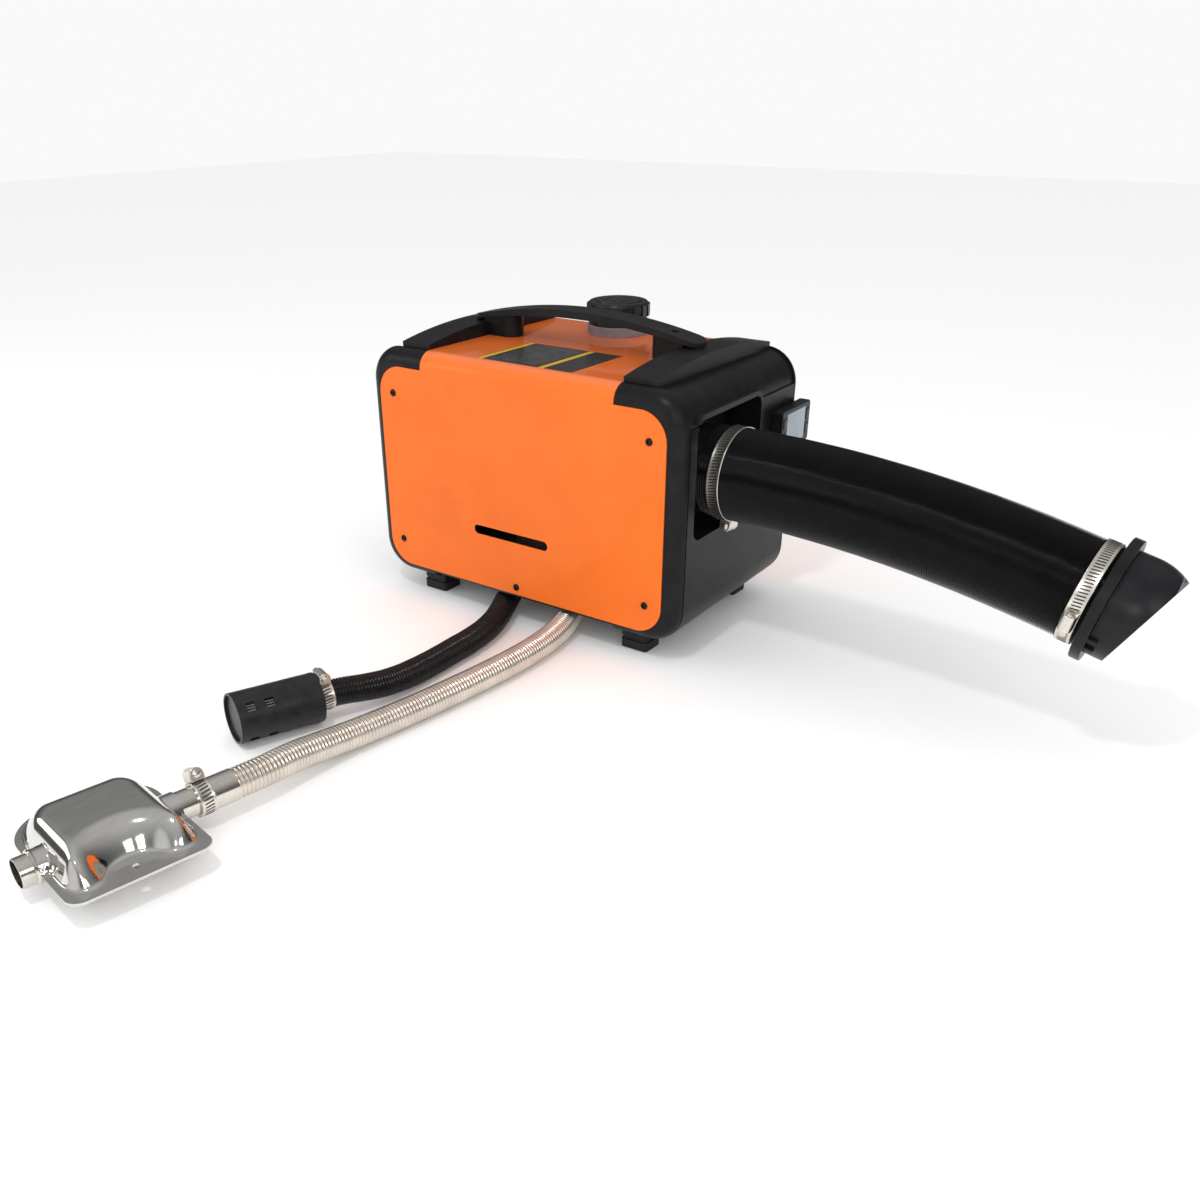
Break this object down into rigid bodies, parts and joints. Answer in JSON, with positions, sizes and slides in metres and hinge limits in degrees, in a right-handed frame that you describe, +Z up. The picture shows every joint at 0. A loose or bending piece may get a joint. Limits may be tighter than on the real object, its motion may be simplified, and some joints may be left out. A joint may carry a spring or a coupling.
{
  "type": "portable diesel air heater",
  "caption": "Portable diesel air heater in a folded orange case with black ends, a hot-air duct, an intake hose with silencer, and an exhaust hose with muffler.",
  "frame": {"origin": "on the floor under the middle of the case, midway between the four feet", "axes": "+X to the right along the case's front, out of the end with the duct; +Y from the front to the back; +Z up"},
  "size_m": [0.8012, 0.831, 0.306],
  "materials": {
    "orange_sheet": "satin",
    "moulding_plastic": "textured",
    "handle_plastic": "satin",
    "black_screw": "satin",
    "foot_rubber": "matte",
    "duct_plastic": "gloss",
    "clamp_steel": "polished",
    "cap_plastic": "satin",
    "neck_plastic": "matte",
    "tank_plastic": "matte",
    "gasket_rubber": "matte",
    "controller_plastic": "satin",
    "screen_glass": "gloss",
    "key_rubber": "matte",
    "board": "matte",
    "core_alloy": "cast",
    "core_plastic": "matte",
    "inner_steel": "satin",
    "tray_sheet": "satin",
    "line_rubber": "matte",
    "exhaust_steel": "corrugated",
    "sleeve_steel": "satin",
    "muffler_steel": "polished",
    "intake_plastic": "satin",
    "silencer_plastic": "satin",
    "black_clamp": "satin",
    "label_film": "satin"
  },
  "bodies": {
    "case": {"blower_housing": "core_alloy", "burner_tube": "inner_steel", "carry_handle": "handle_plastic", "control_unit": "board", "controller_board": "board", "controller_bracket": "moulding_plastic", "controller_housing": "controller_plastic", "controller_screen": "screen_glass", "core_case_lower": "core_plastic", "core_case_upper": "core_plastic", "core_stand": "inner_steel", "cover": "orange_sheet", "cover_screws": "black_screw", "end_moulding_left": "moulding_plastic", "end_moulding_right": "moulding_plastic", "exhaust_clamp": "clamp_steel", "exhaust_hose": "exhaust_steel", "exhaust_sleeve": "sleeve_steel", "fan_motor": "inner_steel", "far_clamp_band": "clamp_steel", "far_clamp_worm": "clamp_steel", "foot_back_left": "foot_rubber", "foot_back_right": "foot_rubber", "foot_front_left": "foot_rubber", "foot_front_right": "foot_rubber", "fuel_filter": "line_rubber", "fuel_lines": "line_rubber", "fuel_pump": "inner_steel", "fuel_tank": "tank_plastic", "glow_plug": "inner_steel", "handle_screws": "black_screw", "heat_exchanger": "core_alloy", "hot_air_duct": "duct_plastic", "inlet_grille": "moulding_plastic", "intake_clamp": "black_clamp", "intake_hose": "intake_plastic", "muffler_lower": "muffler_steel", "muffler_pipes": "muffler_steel", "muffler_upper": "muffler_steel", "near_clamp_band": "clamp_steel", "near_clamp_worm": "clamp_steel", "neck_ring": "neck_plastic", "outlet_ring": "handle_plastic", "outlet_spigot": "core_plastic", "power_socket": "core_plastic", "pump_mount": "line_rubber", "silencer_can": "silencer_plastic", "silencer_plate": "silencer_plastic", "top_label": "label_film", "tray": "tray_sheet"},
    "fan": {"fan_shaft": "inner_steel", "air_impeller": "core_plastic", "combustion_wheel": "core_plastic"},
    "gasket": {"cap_gasket": "gasket_rubber"},
    "cap": {"filler_cap": "cap_plastic"},
    "hood": {"outlet_hood": "handle_plastic"},
    "key_1": {"control_key_1": "key_rubber"},
    "key_2": {"control_key_2": "key_rubber"},
    "key_3": {"control_key_3": "key_rubber"},
    "key_4": {"control_key_4": "key_rubber"}
  },
  "joints": [
    {"name": "fan_spin", "type": "hinge", "parent": "case", "child": "fan", "pos_m": [-0.09, -0.034, 0.179], "axis": [1, 0, 0], "continuous": true},
    {"name": "cap_rise", "type": "slide", "parent": "case", "child": "gasket", "axis": [0, 0, 1], "range_m": [0, 0.009]},
    {"name": "cap_turn", "type": "hinge", "parent": "gasket", "child": "cap", "pos_m": [-0.012, 0.078, 0.29], "axis": [0, 0, 1], "range_deg": [0, 540]},
    {"name": "hood_turn", "type": "hinge", "parent": "case", "child": "hood", "pos_m": [0.54607, -0.034, 0.1372], "axis": [0.974, 0, -0.2266], "continuous": true},
    {"name": "key_1_press", "type": "slide", "parent": "case", "child": "key_1", "axis": [-0.9996, -0.0285, 0], "range_m": [0, 0.0008], "stiffness_N_per_m": 400, "springref_m": -0.0005},
    {"name": "key_2_press", "type": "slide", "parent": "case", "child": "key_2", "axis": [-0.9996, -0.0285, 0], "range_m": [0, 0.0008], "stiffness_N_per_m": 400, "springref_m": -0.0005},
    {"name": "key_3_press", "type": "slide", "parent": "case", "child": "key_3", "axis": [-0.9996, -0.0285, 0], "range_m": [0, 0.0008], "stiffness_N_per_m": 400, "springref_m": -0.0005},
    {"name": "key_4_press", "type": "slide", "parent": "case", "child": "key_4", "axis": [-0.9996, -0.0285, 0], "range_m": [0, 0.0008], "stiffness_N_per_m": 400, "springref_m": -0.0005}
  ],
  "couplings": [
    {"joint": "cap_turn", "follows": "cap_rise", "rad_per_m": 1047.2}
  ]
}
